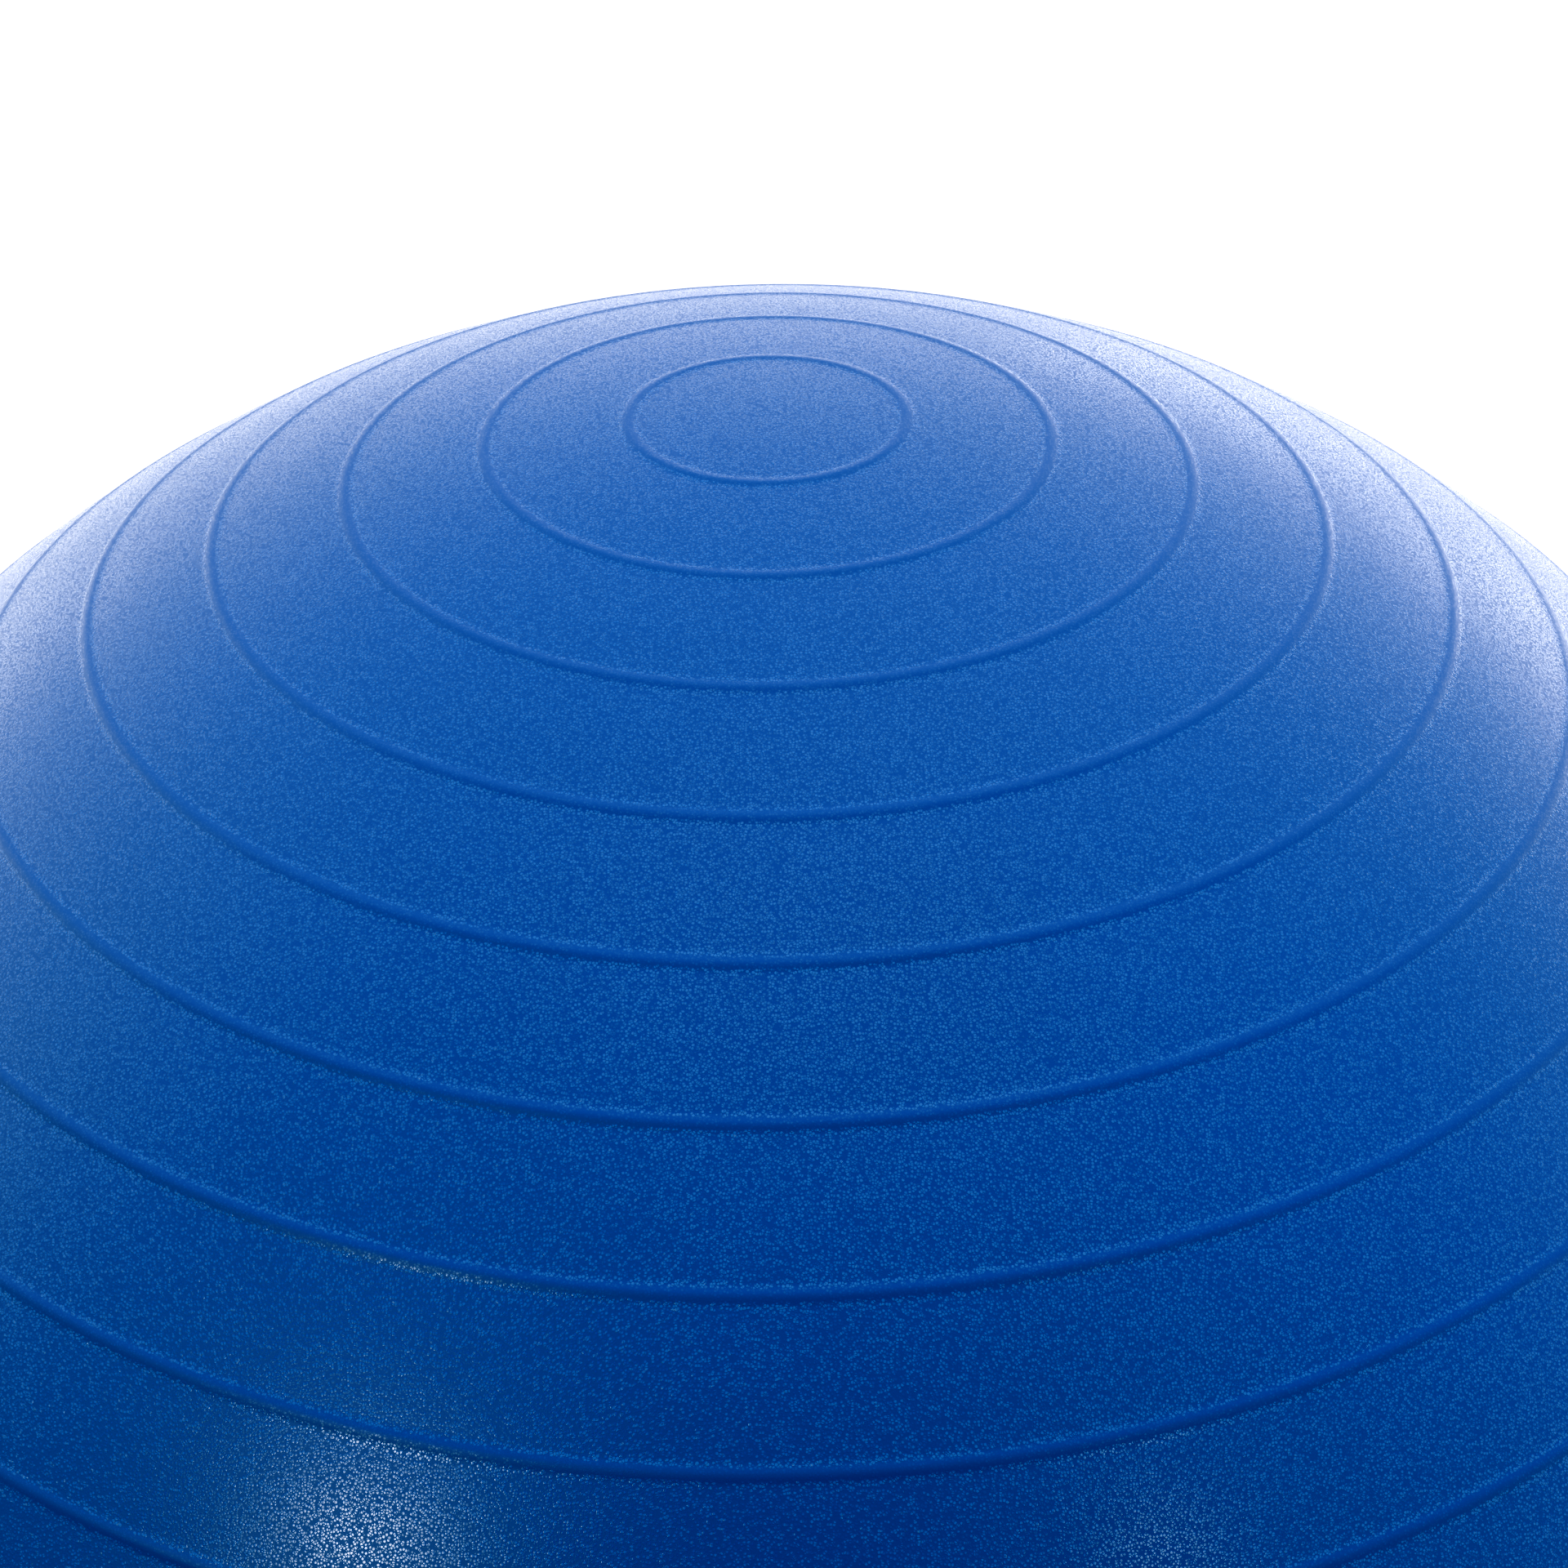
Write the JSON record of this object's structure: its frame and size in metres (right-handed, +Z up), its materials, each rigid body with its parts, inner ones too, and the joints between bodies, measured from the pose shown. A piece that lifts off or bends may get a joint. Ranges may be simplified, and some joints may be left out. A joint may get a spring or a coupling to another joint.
{
  "type": "exercise ball",
  "caption": "Inflatable exercise ball with parallel raised grip ribs, a fine pebbled skin and a plug valve in its lower pole, standing on the small flat its weight makes.",
  "frame": {"origin": "on the floor, under the middle of the ball, in the plane of the flat it stands on", "axes": "+Z up, along the ball's moulding axis, from the valve to the plain upper pole; X and Y are any two level directions, because the ball is turned about +Z"},
  "size_m": [0.6516, 0.6516, 0.647],
  "materials": {
    "skin": "satin",
    "insert": "satin",
    "plug": "satin"
  },
  "bodies": {
    "ball": {"ball_shell": "skin", "valve_seat": "insert"},
    "plug": {"valve_plug": "plug"}
  },
  "joints": [
    {"name": "plug_pull", "type": "slide", "parent": "ball", "child": "plug", "axis": [0, 0, -1], "range_m": [0, 0.03]}
  ]
}
